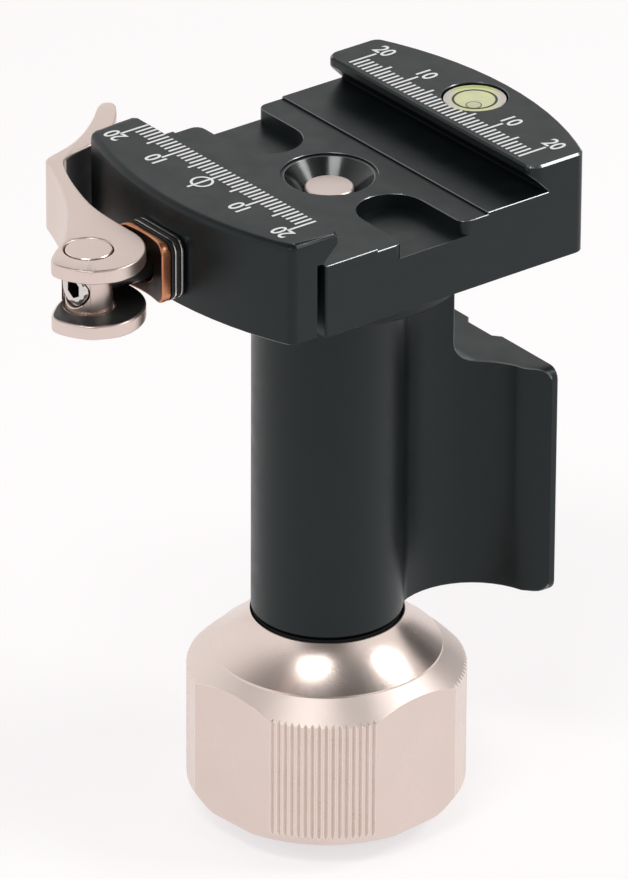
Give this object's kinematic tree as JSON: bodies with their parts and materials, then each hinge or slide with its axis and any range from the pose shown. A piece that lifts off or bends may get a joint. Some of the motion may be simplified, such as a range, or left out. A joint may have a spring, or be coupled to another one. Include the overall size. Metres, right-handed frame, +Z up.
{
  "type": "monopod tilt head",
  "caption": "Monopod tilt head: lever-release dovetail clamp with bubble level, on a winged column over a knurled locking collar.",
  "frame": {"origin": "on the column's axis, at the base disc's bottom face", "axes": "+Z up the column; +X from the lever to the level and the wing; the clamp's groove runs along Y, with the bare front at -Y"},
  "size_m": [0.0831, 0.0627, 0.1094],
  "materials": {
    "black_anodised": "satin",
    "champagne_anodised": "satin",
    "steel": "polished",
    "copper": "satin",
    "dark_polymer": "matte",
    "clear_acrylic": "gloss",
    "level_fluid": "gloss"
  },
  "bodies": {
    "base": {"base_disc": "black_anodised", "grub_screw": "steel", "threaded_insert": "steel", "ball": "steel"},
    "pan_ring": {"lower_liner": "dark_polymer"},
    "tilt_ring": {"upper_liner": "dark_polymer"},
    "head": {"ball_socket": "black_anodised", "socket_screw": "steel", "neck_ring": "dark_polymer", "column": "black_anodised", "clamp_base": "black_anodised", "clamp_stud": "steel", "dowel_pin_1": "steel", "dowel_pin_2": "steel", "flange_screw_1": "steel", "flange_screw_2": "steel", "flange_screw_3": "steel", "flange_screw_4": "steel", "level_vial": "clear_acrylic", "level_fluid": "level_fluid", "lever_barrel": "champagne_anodised", "draw_bolt": "steel", "guide_pin_near": "steel", "guide_pin_far": "steel", "jaw_spring_near": "steel", "jaw_spring_far": "steel"},
    "collar": {"lock_collar": "champagne_anodised", "ball_retainer": "black_anodised"},
    "lever": {"lever": "champagne_anodised"},
    "jaw": {"moving_jaw": "black_anodised", "copper_pad": "copper", "steel_plate": "steel", "rubber_plate": "dark_polymer", "steel_washer_plate": "steel", "shim_plate": "dark_polymer"}
  },
  "joints": [
    {"name": "pan", "type": "hinge", "parent": "base", "child": "pan_ring", "pos_m": [0, 0, 0.017], "axis": [0, 0, 1], "continuous": true},
    {"name": "tilt_x", "type": "hinge", "parent": "pan_ring", "child": "tilt_ring", "pos_m": [0, 0, 0.017], "axis": [1, 0, 0], "range_deg": [-8, 8]},
    {"name": "tilt_y", "type": "hinge", "parent": "tilt_ring", "child": "head", "pos_m": [0, 0, 0.017], "axis": [0, 1, 0], "range_deg": [-8, 8]},
    {"name": "collar_turn", "type": "hinge", "parent": "head", "child": "collar", "pos_m": [0, 0, 0.0036], "axis": [0, 0, 1], "range_deg": [0, 150]},
    {"name": "lever_turn", "type": "hinge", "parent": "head", "child": "lever", "pos_m": [-0.0432, 0, 0.0995], "axis": [0, 0, 1], "range_deg": [0, 150]},
    {"name": "jaw_slide", "type": "slide", "parent": "head", "child": "jaw", "axis": [-1, 0, 0], "range_m": [0, 0.0012]}
  ],
  "couplings": [
    {"joint": "jaw_slide", "follows": "lever_turn", "m_per_rad": 0.000458}
  ]
}
